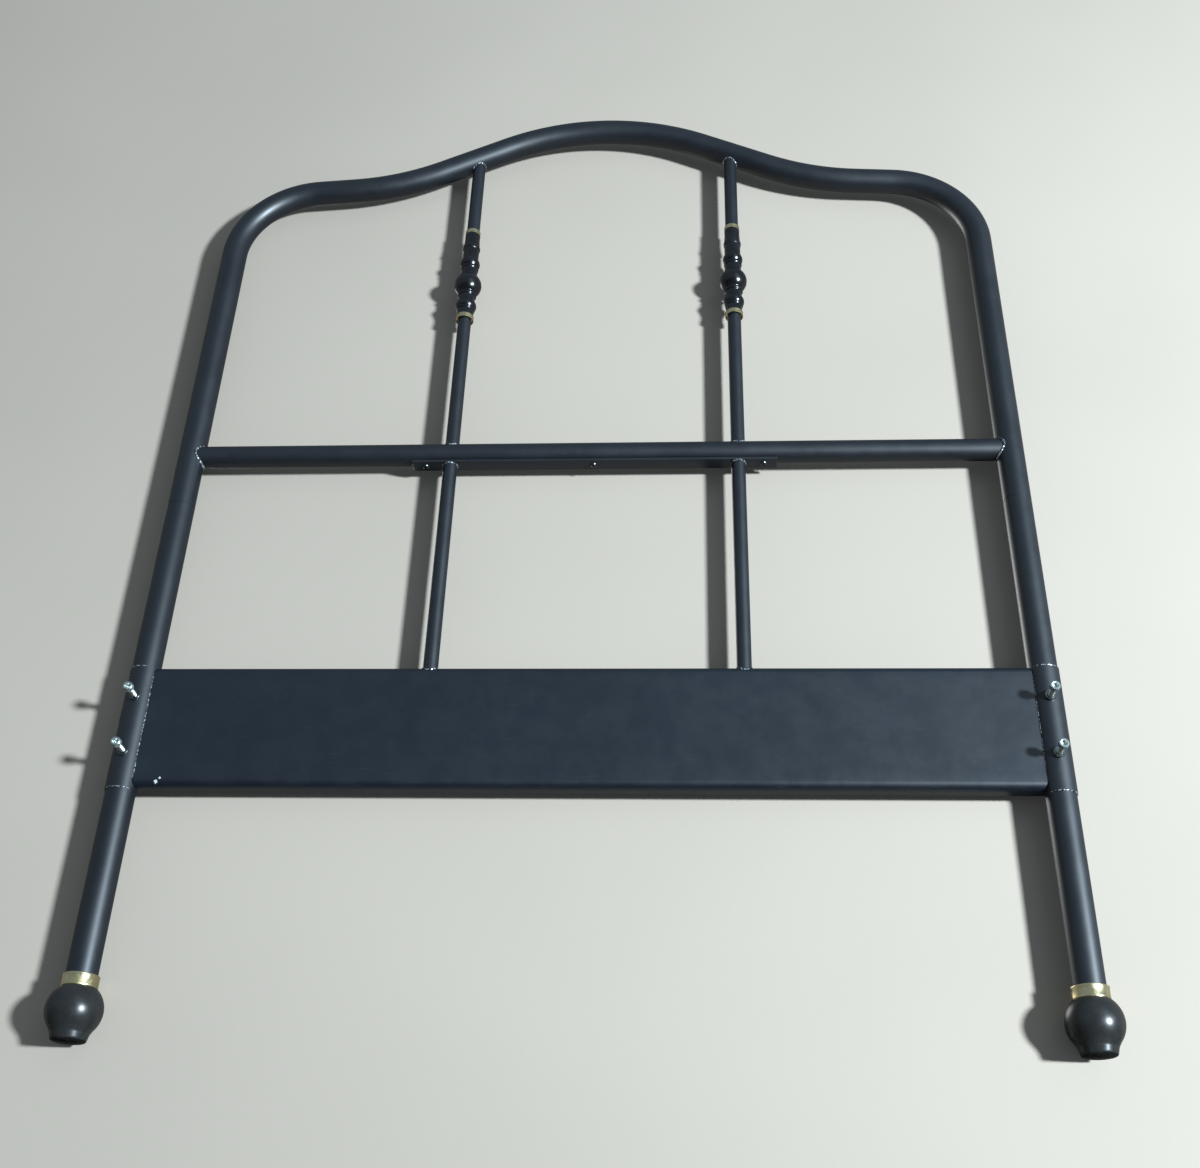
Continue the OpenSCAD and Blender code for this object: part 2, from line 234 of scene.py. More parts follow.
def circle(r, z, n=SEGMENTS):
    return [Vector((r * math.cos(turn(i, n)), r * math.sin(turn(i, n)), z)) for i in range(n)]


def lathe(profile, n=SEGMENTS, **ends):
    """Solid of revolution about Z from (radius, height) pairs."""
    return Shells().loft([circle(r, z, n) for r, z in profile], **ends)


def at(x, y, z):
    return Matrix.Translation((x, y, z))


def facing_front(x, y, z):
    """Local +Z turned to point out of the front, towards -Y."""
    return at(x, y, z) @ Matrix.Rotation(math.radians(90), 4, "X")


def arc(cx, cy, r, a0, a1, n):
    """Points on an arc, angles in degrees."""
    steps = [math.radians(a0 + (a1 - a0) * i / n) for i in range(n + 1)]
    return [(cx + r * math.cos(a), cy + r * math.sin(a)) for a in steps]


def drift(point, scale, seed):
    """Smooth value from -1 to 1 that changes with place and differs from seed to seed."""
    return noise.noise(Vector(point) * scale + Vector((seed, 2.3 * seed, -1.7 * seed)))


def drill(obj, centres, radius, length):
    """Round holes through the front of an object, along Y."""
    bores = Shells()
    for x, y, z in centres:
        bore = lathe([(radius, -length / 2), (radius, length / 2)], 48, cap_start=True, cap_end=True)
        bores.add(bore.moved(facing_front(x, y, z)))
    cutter = add_object("drill", solid_mesh("drill", bores))
    modifier = obj.modifiers.new("holes", "BOOLEAN")
    modifier.operation = "DIFFERENCE"
    modifier.solver = "EXACT"
    modifier.object = cutter
    bpy.context.view_layer.update()
    drilled = bpy.data.meshes.new_from_object(obj.evaluated_get(bpy.context.evaluated_depsgraph_get()))
    obj.modifiers.clear()
    obj.data = drilled
    smooth(drilled)
    bpy.data.objects.remove(cutter)


# ---------------------------------------------------------------- materials

class NodeMaterial:
    """Builder of a procedural material on the object's own coordinates; scales are per metre."""

    def __init__(self, name):
        self.material = bpy.data.materials.new(name)
        self.material.use_nodes = True
        self.tree = self.material.node_tree
        self.tree.nodes.clear()
        self.out = self.tree.nodes.new("ShaderNodeOutputMaterial")
        self.bsdf = self.tree.nodes.new("ShaderNodeBsdfPrincipled")
        self.link(self.bsdf.outputs[0], self.out.inputs["Surface"])
        self.coords = self.tree.nodes.new("ShaderNodeTexCoord").outputs["Object"]

    def link(self, a, b):
        self.tree.links.new(a, b)

    def set(self, **values):
        """Uniform values, on the shader's own sockets."""
        for name, value in values.items():
            self.bsdf.inputs[name.replace("_", " ")].default_value = value

    def stretched(self, scale):
        node = self.tree.nodes.new("ShaderNodeMapping")
        node.inputs["Scale"].default_value = scale
        self.link(self.coords, node.inputs["Vector"])
        return node.outputs[0]

    def height(self):
        node = self.tree.nodes.new("ShaderNodeSeparateXYZ")
        self.link(self.coords, node.inputs[0])
        return node.outputs["Z"]

    def noise(self, scale, detail=2.0, rough=0.5, vector=None, distortion=0.0):
        node = self.tree.nodes.new("ShaderNodeTexNoise")
        node.inputs["Scale"].default_value = scale
        node.inputs["Detail"].default_value = detail
        node.inputs["Roughness"].default_value = rough
        node.inputs["Distortion"].default_value = distortion
        self.link(vector or self.coords, node.inputs["Vector"])
        return node.outputs["Fac"]

    def lines(self, scale, detail=2.0, rough=0.5, distortion=0.0):
        """Noise with a scale of its own along each axis."""
        return self.noise(1.0, detail, rough, self.stretched(scale), distortion)

    def span(self, value, lo, hi, to_lo=0.0, to_hi=1.0):
        """Smooth step of a value between two limits."""
        node = self.tree.nodes.new("ShaderNodeMapRange")
        node.interpolation_type = "SMOOTHSTEP"
        for key, number in zip(("From Min", "From Max", "To Min", "To Max"), (lo, hi, to_lo, to_hi)):
            node.inputs[key].default_value = number
        self.link(value, node.inputs["Value"])
        return node.outputs["Result"]

    def math(self, kind, a, b):
        node = self.tree.nodes.new("ShaderNodeMath")
        node.operation = kind
        for socket, value in zip(node.inputs, (a, b)):
            if isinstance(value, (int, float)):
                socket.default_value = value
            else:
                self.link(value, socket)
        return node.outputs[0]

    def near(self, point, radius, ragged):
        """1 within a radius of a point and 0 outside it, with a ragged edge, in millimetres."""
        node = self.tree.nodes.new("ShaderNodeVectorMath")
        node.operation = "DISTANCE"
        self.link(self.coords, node.inputs[0])
        node.inputs[1].default_value = [c * MM for c in point]
        swing = self.span(self.noise(900.0, 1.0), 0.3, 0.7, -ragged * MM, ragged * MM)
        distance = self.math("ADD", node.outputs["Value"], swing)
        return self.span(distance, radius * MM * 0.85, radius * MM, 1.0, 0.0)

    def mix(self, factor, a, b):
        """Colour a where the factor is 0 and colour b where it is 1."""
        node = self.tree.nodes.new("ShaderNodeMix")
        node.data_type = "RGBA"
        self.link(factor, node.inputs["Factor"])
        for key, value in (("A", a), ("B", b)):
            socket = [s for s in node.inputs if s.name == key and s.type == "RGBA"][0]
            if isinstance(value, tuple):
                socket.default_value = (*value, 1.0)
            else:
                self.link(value, socket)
        return [s for s in node.outputs if s.type == "RGBA"][0]

    def spots(self, mask, amount, shade, colour):
        """A shade with part of another colour over it where the mask is 1."""
        return self.mix(self.math("MULTIPLY", mask, amount), shade, colour)

    def bump(self, height, strength, distance, below=None):
        node = self.tree.nodes.new("ShaderNodeBump")
        node.inputs["Strength"].default_value = strength
        node.inputs["Distance"].default_value = distance
        self.link(height, node.inputs["Height"])
        if below:
            self.link(below, node.inputs["Normal"])
        return node.outputs[0]

    def finish(self, colour, roughness, normal, **values):
        """The surface's sockets, and the material itself."""
        self.link(colour, self.bsdf.inputs["Base Color"])
        self.link(roughness, self.bsdf.inputs["Roughness"])
        self.link(normal, self.bsdf.inputs["Normal"])
        self.set(**values)
        return self.material


def powder_coat(name, dark, light, rough, sheen, dust, chips=()):
    """Satin powder coat: slow shade drift, rubbed streaks, dust, scratches, orange peel and chips."""
    m = NodeMaterial(name)
    shade = m.mix(m.span(m.noise(7.0, 3.0), 0.35, 0.65), dark, light)
    rub = m.span(m.noise(60.0, 3.0, 0.6, m.stretched((0.35, 1.0, 1.0))), 0.52, 0.75)
    shade = m.spots(rub, 0.15, shade, tuple(c * 1.4 for c in light))
    speck = m.span(m.noise(1500.0, 1.0), 0.74, 0.80)
    patch = m.span(m.noise(14.0), 0.45, 0.7)
    shade = m.spots(m.math("MULTIPLY", speck, patch), dust, shade, (0.23, 0.22, 0.19))
    scratch = m.span(m.lines((34.0, 900.0, 1500.0), distortion=0.3), 0.70, 0.74)
    shade = m.spots(scratch, 0.10, shade, (0.16, 0.17, 0.19))
    roughness = m.span(m.noise(38.0, 3.0, 0.6), 0.3, 0.7, rough - 0.03, rough + 0.03)
    coat = m.bump(m.noise(620.0, 2.0, 0.45), 0.30, 0.00006)
    coat = m.bump(m.noise(120.0), 0.10, 0.00012, coat)
    bare = None
    for point, radius in chips:
        chip = m.near(point, radius, 0.6)
        bare = chip if bare is None else m.math("MAXIMUM", bare, chip)
    if bare:
        shade = m.mix(bare, shade, (0.62, 0.63, 0.64))
        coat = m.bump(m.math("SUBTRACT", 1.0, bare), 0.7, 0.0002, coat)
    return m.finish(shade, roughness, coat, Specular_IOR_Level=sheen)


def weld_coat():
    """Paint over a weld, with patches of bright metal on the ripples: partly paint rubbed through, partly
    painted glints.
    """
    m = NodeMaterial("weld_coat")
    # bright metal patches: partly worn-through paint, partly painted glints of the bead's ripples
    wear_and_glint = m.span(m.noise(420.0, 3.0, 0.6), 0.49, 0.60)
    m.link(m.math("MULTIPLY", wear_and_glint, 0.8), m.bsdf.inputs["Metallic"])
    return m.finish(m.mix(wear_and_glint, (0.012, 0.014, 0.018), (0.60, 0.62, 0.64)),
                    m.span(m.noise(700.0), 0.3, 0.7, 0.25, 0.45),
                    m.bump(m.noise(1300.0, 3.0, 0.6), 0.5, 0.0002))


def gloss_black():
    """Moulded glossy black with fine handling marks."""
    m = NodeMaterial("gloss_black")
    cloud = m.span(m.noise(45.0), 0.35, 0.7)
    return m.finish(m.mix(cloud, (0.0030, 0.0032, 0.0040), (0.0055, 0.0060, 0.0078)),
                    m.span(m.noise(260.0, 3.0, 0.6), 0.35, 0.75, 0.19, 0.28),
                    m.bump(m.noise(900.0), 0.16, 0.00005), Specular_IOR_Level=0.7)


def brass():
    """Brass plating: turned lines, cloudy tarnish and a few dark pits."""
    m = NodeMaterial("brass_plate")
    cloud = m.span(m.noise(95.0, 4.0, 0.6), 0.36, 0.66)
    shade = m.mix(cloud, (0.95, 0.82, 0.50), (0.76, 0.64, 0.33))
    pits = m.span(m.noise(1700.0, 1.0), 0.72, 0.78)
    shade = m.spots(pits, 0.6, shade, (0.16, 0.10, 0.03))
    turned = m.lines((30.0, 30.0, 5200.0), rough=0.6)
    waves = m.bump(m.noise(160.0), 0.2, 0.0002)
    return m.finish(shade, m.span(cloud, 0.0, 1.0, 0.22, 0.40), m.bump(turned, 0.22, 0.00003, waves),
                    Metallic=1.0)


def zinc(name, tint):
    """Zinc plate of a tint, with a faint straw-coloured haze."""
    m = NodeMaterial(name)
    haze = m.span(m.noise(170.0, 3.0, 0.6), 0.35, 0.65)
    straw = (tint[0] * 0.96, tint[1] * 0.97, tint[2] * 0.86)
    return m.finish(m.mix(haze, tint, straw), m.span(m.noise(600.0, 3.0, 0.6), 0.3, 0.7, 0.20, 0.38),
                    m.bump(m.noise(2400.0), 0.25, 0.00003), Metallic=1.0)


def raw_steel():
    """Drawn steel with lengthwise lines and light oil stains."""
    m = NodeMaterial("raw_steel")
    stain = m.span(m.noise(60.0, 4.0, 0.6), 0.35, 0.65)
    return m.finish(m.mix(stain, (0.42, 0.43, 0.44), (0.26, 0.25, 0.24)),
                    m.span(m.noise(200.0, 3.0), 0.3, 0.7, 0.32, 0.5),
                    m.bump(m.lines((2600.0, 2600.0, 40.0)), 0.25, 0.00004), Metallic=1.0)


def foot_plastic():
    """Moulded grey-black plastic: fine grain, specks, and scuffs towards the base."""
    m = NodeMaterial("foot_plastic")
    shade = m.mix(m.span(m.noise(40.0, 3.0), 0.35, 0.65), (0.014, 0.014, 0.014), (0.020, 0.020, 0.019))
    low = m.span(m.height(), 0.0, 0.014, 1.0, 0.0)
    scuff = m.span(m.lines((420.0, 420.0, 120.0), 4.0, 0.65, 0.4), 0.54, 0.68)
    shade = m.spots(m.math("MULTIPLY", scuff, low), 0.3, shade, (0.10, 0.10, 0.09))
    specks = m.span(m.noise(950.0, 1.0), 0.73, 0.79)
    shade = m.spots(specks, 0.35, shade, (0.17, 0.16, 0.14))
    waves = m.bump(m.noise(90.0), 0.12, 0.0003)
    return m.finish(shade, m.span(m.noise(130.0, 3.0, 0.6), 0.3, 0.7, 0.27, 0.33),
                    m.bump(m.noise(1500.0), 0.22, 0.00005, waves), Specular_IOR_Level=0.5)


# Two chips near the panel's lower left corner: place and radius in millimetres
PANEL_CHIPS = (((-428.0, -8.0, 253.5), 1.9), ((-424.0, -8.7, 257.0), 1.3))
FRAME_PAINT = powder_coat("frame_powder_coat", (0.0030, 0.0050, 0.0082), (0.0042, 0.0066, 0.0104),
                          rough=0.44, sheen=0.85, dust=0.35)
PANEL_PAINT = powder_coat("panel_powder_coat", (0.0006, 0.0036, 0.0088), (0.0010, 0.0046, 0.0104),
                          rough=0.41, sheen=0.9, dust=0.45, chips=PANEL_CHIPS)
WELD = weld_coat()
BLACK = gloss_black()
BRASS = brass()
ZINC = zinc("zinc_plate", (0.78, 0.87, 0.88))
INSERT_ZINC = zinc("insert_zinc", (0.55, 0.57, 0.58))
DARK_ZINC = zinc("dark_zinc", (0.14, 0.155, 0.165))
STEEL = raw_steel()
PLASTIC = foot_plastic()


# ---------------------------------------------------------------- hoop, legs, rail and spindles

def upright(deg):
    """Unit vector in the hoop's plane, at an angle from straight up towards +X."""
    return Vector((math.sin(math.radians(deg)), 0, math.cos(math.radians(deg))))


def bend(centre, r, a0, a1, outside, steps):
    """(point, outward normal) pairs along a bend; outside is 1 for a crest and -1 for a hollow."""
    angles = [a0 + (a1 - a0) * i / steps for i in range(steps + 1)]
    return [(centre + outside * r * upright(a), upright(a)) for a in angles]


def flank_start():
    """Where the crown's bend meets the straight flank, on the right-hand side."""
    return Vector((0, 0, CROWN_H - CROWN_R)) + CROWN_R * upright(FLANK_DEG)


FLANK_START = flank_start()


def hoop_path():
    """Centre line and outward normal from the crown to the right-hand joint."""
    slope = math.radians(FLANK_DEG)
    flank_end = FLANK_START + FLANK_LEN * Vector((math.cos(slope), 0, -math.sin(slope)))
    valley_c = flank_end + VALLEY_R * upright(FLANK_DEG)
    shoulder_start = valley_c - VALLEY_R * upright(SHOULDER_DEG)
    corner_x = LEG_X - CORNER_R
    run = corner_x + CORNER_R * upright(SHOULDER_DEG).x - shoulder_start.x
    drop = run * math.tan(math.radians(SHOULDER_DEG))
    corner_c = Vector((corner_x, 0, shoulder_start.z - drop - CORNER_R * upright(SHOULDER_DEG).z))
    path = bend(Vector((0, 0, CROWN_H - CROWN_R)), CROWN_R, 0, FLANK_DEG, 1, 16)
    path += bend(valley_c, VALLEY_R, FLANK_DEG, SHOULDER_DEG, -1, 14)
    path += bend(corner_c, CORNER_R, SHOULDER_DEG, 90, 1, 30)
    # the straight upper leg, with close points at its rounded end
    for z in (800, 620, JOINT_H + 6, JOINT_H + END_ROUND, JOINT_H):
        path.append((Vector((LEG_X, 0, z)), upright(90)))
    return path


def hoop_ring(point, normal, r):
    side = Vector((0, 1, 0))
    return [point + r * (math.cos(turn(i)) * normal + math.sin(turn(i)) * side)
            for i in range(SEGMENTS)]


def make_hoop():
    right = hoop_path()
    left = [(Vector((-p.x, 0, p.z)), Vector((-n.x, 0, n.z))) for p, n in reversed(right[1:])]
    path = left + right
    outer = [hoop_ring(p, n, LEG_R) for p, n in path]
    for end in (0, -1):
        outer[end] = hoop_ring(*path[end], LEG_R - END_ROUND)
    inner = [hoop_ring(p, n, LEG_R - LEG_WALL) for p, n in reversed(path)]
    piece("hoop_tube_bent", Shells().loft(outer + inner, closed=True), FRAME_PAINT,
          replaces=["hoop_tube"])


def tube_between(r, wall, low, high, cuts=(), axis="Z", centre=(0, 0, 0), round_high=False, steps=4):
    """Tube along an axis; low and high give where it ends, at each point of its cross-section."""
    def ring(radius, part):
        points = []
        for i in range(SEGMENTS):
            u, v = radius * math.cos(turn(i)), radius * math.sin(turn(i))
            along = low(u, v) + (high(u, v) - low(u, v)) * part
            points.append(Vector((u, v, along)) if axis == "Z" else Vector((along, v, u)))
        return [p + Vector(centre) for p in points]

    levels = sorted({i / steps for i in range(steps + 1)} | set(cuts))
    outer = [ring(r, part) for part in levels]
    if round_high:
        edge = END_ROUND / (high(r, 0) - low(r, 0))
        outer[-1:] = [ring(r, 1 - edge), ring(r - END_ROUND, 1.0)]
    inner = [ring(r - wall, part) for part in reversed(levels)]
    return Shells().loft(outer + inner, closed=True)


def flat(z):
    """A tube end that is cut square."""
    return lambda u, v: z


def make_legs():
    bands = [z + i for z in BOLT_Z for i in range(-HOLE_BAND, HOLE_BAND + 1)]
    cuts = [(z - FOOT_H) / (JOINT_H - FOOT_H) for z in bands]
    for side_name, side in SIDES:
        tube = tube_between(LEG_R, LEG_WALL, flat(FOOT_H), flat(JOINT_H), cuts=cuts,
                            centre=(side * LEG_X, 0, 0), round_high=True, steps=6)
        leg = piece(f"lower_leg_{side_name}_tube", tube, FRAME_PAINT,
                    replaces=[f"lower_leg_{side_name}"])
        drill(leg, [(side * LEG_X, -LEG_R, z) for z in BOLT_Z], HOLE_R, HOLE_DEPTH)


def leg_gap(y, r=LEG_R):
    """How far from the leg's centre line a part at depth y starts."""
    return math.sqrt(max(r * r - y * y, 0.0))


def make_rail():
    rail = tube_between(RAIL_R, THIN_WALL, lambda u, v: -(LEG_X - leg_gap(v)),
                        lambda u, v: LEG_X - leg_gap(v), axis="X", centre=(0, 0, RAIL_Z), steps=8)
    piece("mid_rail_tube", rail, FRAME_PAINT, replaces=["mid_rail"])


def rail_top(y):
    return RAIL_Z + math.sqrt(RAIL_R ** 2 - y * y)


def flank_under(x, y):
    """Height of the underside of the hoop's right-hand flank over a point."""
    slope = math.radians(FLANK_DEG)
    dip = -math.sqrt(LEG_R ** 2 - y * y) - (x - FLANK_START.x) * math.sin(slope)
    return FLANK_START.z + dip / math.cos(slope)


def panel_over(y):
    """Height of the panel's upper fold or flange at a depth."""
    ahead = max(0.0, FOLD_R - PANEL_Y - y)
    return PANEL_Z1 - FOLD_R + math.sqrt(FOLD_R ** 2 - ahead ** 2)


def make_spindles():
    for side_name, side in SIDES:
        centre = (side * SPINDLE_X, 0, 0)
        upper = tube_between(SPINDLE_R, THIN_WALL, lambda u, v: rail_top(v),
                             lambda u, v: flank_under(SPINDLE_X + side * u, v), centre=centre)
        lower = tube_between(SPINDLE_R, THIN_WALL, lambda u, v: panel_over(v), flat(strip_lo.z),
                             centre=centre)
        for level, tube in (("upper", upper), ("lower", lower)):
            node = f"{level}_spindle_{side_name}"
            piece(f"{node}_tube", tube, FRAME_PAINT, replaces=[node])


# ---------------------------------------------------------------- panel

def panel_outline():
    """Outer and inner (y, z) outline of the folded sheet: down the outside and back up the inside."""
    y0, z0, z1, r, t = -PANEL_Y, PANEL_Z0, PANEL_Z1, FOLD_R, SHEET_T
    face_steps = 14
    levels = [PANEL_FACE * i / face_steps for i in range(1, face_steps)]
    outer = [(PANEL_Y, z1), (6, z1), (2, z1)]
    outer += arc(y0 + r, z1 - r, r, 90, 180, 9)
    outer += [(y0, z1 - r - level) for level in levels]
    outer += arc(y0 + r, z0 + r, r, 180, 270, 9)
    outer += [(2, z0), (6, z0), (PANEL_Y, z0)]
    inner = [(PANEL_Y, z0 + t), (2, z0 + t)]
    inner += arc(y0 + r, z0 + r, r - t, 270, 180, 7)
    inner += [(y0 + t, z0 + r + level) for level in levels]
    inner += arc(y0 + r, z1 - r, r - t, 180, 90, 7)
    inner += [(2, z1 - t), (PANEL_Y, z1 - t)]
    return outer, inner


def end_strips(outer, inner):
    """Triangles between the outer and the inner outline, as indices into both in a row."""
    outline = outer + inner
    rim = list(range(len(outer)))
    lip = list(reversed(range(len(outer), len(outline))))
    faces, i, j = [], 0, 0

    def gap(a, b):
        return (outline[a][0] - outline[b][0]) ** 2 + (outline[a][1] - outline[b][1]) ** 2

    while i < len(rim) - 1 or j < len(lip) - 1:
        step_outer = j == len(lip) - 1 or (
            i < len(rim) - 1 and gap(rim[i + 1], lip[j]) <= gap(rim[i], lip[j + 1]))
        if step_outer:
            faces.append((rim[i], lip[j], rim[i + 1]))
            i += 1
        else:
            faces.append((rim[i], lip[j], lip[j + 1]))
            j += 1
    return faces


def face_sag(x, y, z, u):
    """How far the sheet's face bows back, in millimetres; u runs from -1 to 1 along the panel."""
    deepest, face_band = 0.22, 2
    if y >= face_band - PANEL_Y:
        return 0.0
    middle = (PANEL_Z0 + PANEL_Z1) / 2
    calm = max(0.0, 1 - ((z - middle) / (PANEL_FACE / 2)) ** 2) * (1 - u ** 8)
    return deepest * calm * (1 + drift((x, 0, z), 0.011, 5))


def make_panel():
    outer, inner = panel_outline()
    rings, steps = [], 150
    for i in range(steps + 1):
        u = 2 * i / steps - 1
        ring = []
        for y, z in outer + inner:
            x = u * (LEG_X - leg_gap(y, SADDLE_R))
            ring.append(Vector((x, y + face_sag(x, y, z, u), z)))
        rings.append(ring)
    # each end is closed by strips across the sheet's thickness, so the channel stays open
    shells = Shells().loft(rings)
    for first, flip in ((0, False), (steps * len(rings[0]), True)):
        for corners in end_strips(outer, inner):
            face = tuple(first + k for k in corners)
            shells.faces.append(face[::-1] if flip else face)
    piece("panel_folded_sheet", shells, PANEL_PAINT, replaces=["panel"], sharp=32)


# ---------------------------------------------------------------- tie strip and its screws

def rounded_section(w, h, r, n=4):
    """Rounded rectangle as (u, v) points about its middle."""
    points = []
    for cu, cv, a in ((w / 2 - r, h / 2 - r, 0), (r - w / 2, h / 2 - r, 90),
                      (r - w / 2, r - h / 2, 180), (w / 2 - r, r - h / 2, 270)):
        points += arc(cu, cv, r, a, a + 90, n)
    return points


def make_strip():
    middle = (strip_lo + strip_hi) / 2
    size = strip_hi - strip_lo
    section, rings = rounded_section(size.y, size.z, STRIP_CORNER_R), []
    for x, shrink in ((strip_lo.x, STRIP_EDGE), (strip_lo.x + STRIP_EDGE, 0), (0, 0),
                      (strip_hi.x - STRIP_EDGE, 0), (strip_hi.x, STRIP_EDGE)):
        rings.append([Vector((x, middle.y + v * (1 - shrink / size.y * 2),
                              middle.z + w * (1 - shrink / size.z * 2))) for v, w in section])
    shells = Shells().loft(rings, cap_start=True, cap_end=True)
    piece("tie_strip_flat", shells, FRAME_PAINT, replaces=["tie_strip"])


def cross_ring(z, arm, n):
    """Outline of a cross recess: four arms of a half length and of the recess's half width."""
    ring = []
    for i in range(n):
        c, s = math.cos(turn(i, n)), math.sin(turn(i, n))
        across, up = abs(c) + 1e-9, abs(s) + 1e-9
        r = max(min(arm / across, SCREW_CROSS_HALF_W / up), min(SCREW_CROSS_HALF_W / across, arm / up))
        ring.append(Vector((r * c, r * s, z)))
    return ring


def make_strip_screws():
    n, screws = 96, Shells()
    bottom, top = node_box("tie_strip_screws")
    under = strip_lo.z
    profile = [(SCREW_SHANK_R - 0.1, top.z - 0.2), (SCREW_SHANK_R, top.z - 0.6), (SCREW_SHANK_R, under)]
    profile += [(r, under - depth) for r, depth in SCREW_HEAD]
    profile += [(2.7, bottom.z + 0.15), (2.45, bottom.z)]
    rings = [circle(r, z, n) for r, z in profile]
    rings += [cross_ring(bottom.z + depth, arm, n) for depth, arm in SCREW_CROSS]
    screw = Shells().loft(rings, cap_start=True, cap_end=True)
    for x in STRIP_SCREW_X:
        screws.add(screw.moved(at(x, 0, 0)))
    piece("tie_strip_pan_screws", screws, DARK_ZINC, replaces=["tie_strip_screws"], sharp=30)


# ---------------------------------------------------------------- rail bolts and washers

def thread_radius(z, angle):
    """Radius of the threaded shank, which narrows over its first turns."""
    tip = -HEAD_H - BOLT_LEN
    phase = (z / PITCH + angle / (2 * math.pi)) % 1.0
    cut = max(0.0, 1 - abs(phase - 0.5) / 0.42) * THREAD_DEPTH
    lead_in = min(1.0, (z - tip) / 1.2)
    return (SHANK_R - cut) * (0.78 + 0.22 * lead_in)


def shank_shells():
    n, rings_per_pitch = 60, 8
    count = int(BOLT_LEN / PITCH * rings_per_pitch)
    rings = []
    for i in range(count + 1):
        z = -HEAD_H - BOLT_LEN + BOLT_LEN * i / count
        rings.append([Vector((thread_radius(z, turn(j, n)) * math.cos(turn(j, n)),
                              thread_radius(z, turn(j, n)) * math.sin(turn(j, n)), z)) for j in range(n)])
    return Shells().loft(rings, cap_start=True, cap_end=True)


def head_shells():
    """Knurled cap head with a hexagon socket."""
    n, under = 144, -HEAD_H

    def knurled(z):
        """Every third point is pressed in."""
        radii = [HEAD_R - KNURL_DEPTH * (i % 3 == 0) for i in range(n)]
        return [Vector((r * math.cos(turn(i, n)), r * math.sin(turn(i, n)), z))
                for i, r in enumerate(radii)]

    def hexagon(z):
        radii = [SOCKET_R / math.cos((turn(i, n) % (math.pi / 3)) - math.pi / 6) for i in range(n)]
        return [Vector((r * math.cos(turn(i, n)), r * math.sin(turn(i, n)), z))
                for i, r in enumerate(radii)]

    return Shells().loft([
        circle(SHANK_R - 0.5, under + 0.02, n), circle(HEAD_R - 0.5, under + 0.02, n),
        circle(HEAD_R, under + 0.5, n), knurled(under + 0.7), knurled(-1.5), circle(HEAD_R, -1.2, n),
        circle(HEAD_R, -HEAD_BEVEL, n), circle(HEAD_R - HEAD_BEVEL, 0, n),
        circle(SOCKET_R + 0.75, 0, n), hexagon(-0.25), hexagon(-SOCKET_DEPTH),
        circle(1.0, -SOCKET_DEPTH - 0.7, n)], cap_start=True, cap_end=True)


def make_bolts():
    """Cap screws about local Z, with the head's top at 0, turned to the front."""
    screw = shank_shells().add(head_shells())
    for node, head_top in BOLT_TOPS.items():
        piece(f"{node}_cap_screw", screw.moved(facing_front(*head_top)), ZINC,
              body=f"{node}_body", replaces=[node], sharp=24)


def make_washers():
    front = node_box("bolt_washers")[0].y
    r, bore, t, edge = WASHER_R, WASHER_BORE_R, WASHER_T, WASHER_EDGE
    one = lathe([(bore, 0), (r - edge, 0), (r, edge), (r, t - edge), (r - edge, t), (bore + edge, t),
                 (bore, t - edge)], 64, closed=True)
    washers = Shells()
    for head_top in BOLT_TOPS.values():
        washers.add(one.moved(facing_front(head_top.x, front + t, head_top.z)))
    piece("bolt_washers_plain", washers, DARK_ZINC, replaces=["bolt_washers"])


# ---------------------------------------------------------------- ornaments, rings, feet and collars

def smoothed(heights, radius_at, spread):
    """Radii along heights, averaged over a short stretch so that inner corners get fillets."""
    taps = [(-1.0, 1), (-0.5, 2), (0.0, 3), (0.5, 2), (1.0, 1)]
    total = sum(weight for _, weight in taps)
    return [sum(w * radius_at(h + spread * o) for o, w in taps) / total for h in heights]


def disc(z, centre_z, centre_r, r):
    """Outer radius at height z of a round bead; 0 above and below it."""
    rest = r * r - (z - centre_z) ** 2
    return centre_r + math.sqrt(rest) if rest > 0 else 0.0


def between(points, z):
    """Radius on the straight lines between (height, radius) points; 0 above and below them."""
    for (z0, r0), (z1, r1) in zip(points, points[1:]):
        if z0 <= z <= z1:
            return r0 + (r1 - r0) * (z - z0) / (z1 - z0)
    return 0.0


def ornament_radius(z):
    """Outer radius of the turned ornament at a height above its lower end."""
    z = min(max(z, 0.0), ORNAMENT_LEN)
    neck = next((r for top, r in ORNAMENT_NECKS if z <= top), 0.0)
    return max(neck, between(ORNAMENT_TAPER, z), *[disc(z, *form) for form in ORNAMENT_BEADS])


def rolled_band(bore, node, rim):
    """Profile of a CAD band's shape with the same rolled edge at both rims."""
    lo, hi = node_box(node)
    r, h = (hi.x - lo.x) / 2, hi.z - lo.z
    low = [(r - inset, z) for inset, z in rim]
    high = [(r - inset, h - z) for inset, z in reversed(rim)]
    return [(bore, 0)] + low + high + [(bore, h)]


def cup_profile(bore, node):
    """Profile of the cup ring, with a rolled lip below and a shoulder above."""
    lo, hi = node_box(node)
    r, h = (hi.x - lo.x) / 2, hi.z - lo.z
    return [(bore, h), (r - 1.2, h), (r - 0.35, h - 0.3), (r - 0.05, h - 1.1), (r - 0.2, h - 2.2),
            (r - 0.2, 1.8), (r, 1.1), (r - 0.15, 0.2), (r - 0.5, 0), (r - 0.85, 0.2), (r - 1.0, 0.9),
            (r - 1.0, CUP_DEPTH - 0.3), (r - 1.4, CUP_DEPTH), (bore, CUP_DEPTH)]


def make_sleeve(node, finish, side, profile, material, n=SEGMENTS, sharp=SHARP_DEG):
    """A lathed piece around a spindle, in place of a CAD node."""
    low = node_box(node)[0]
    shells = lathe(profile, n, closed=True).moved(at(side * SPINDLE_X, 0, low.z))
    piece(f"{node}_{finish}", shells, material, replaces=[node], sharp=sharp)


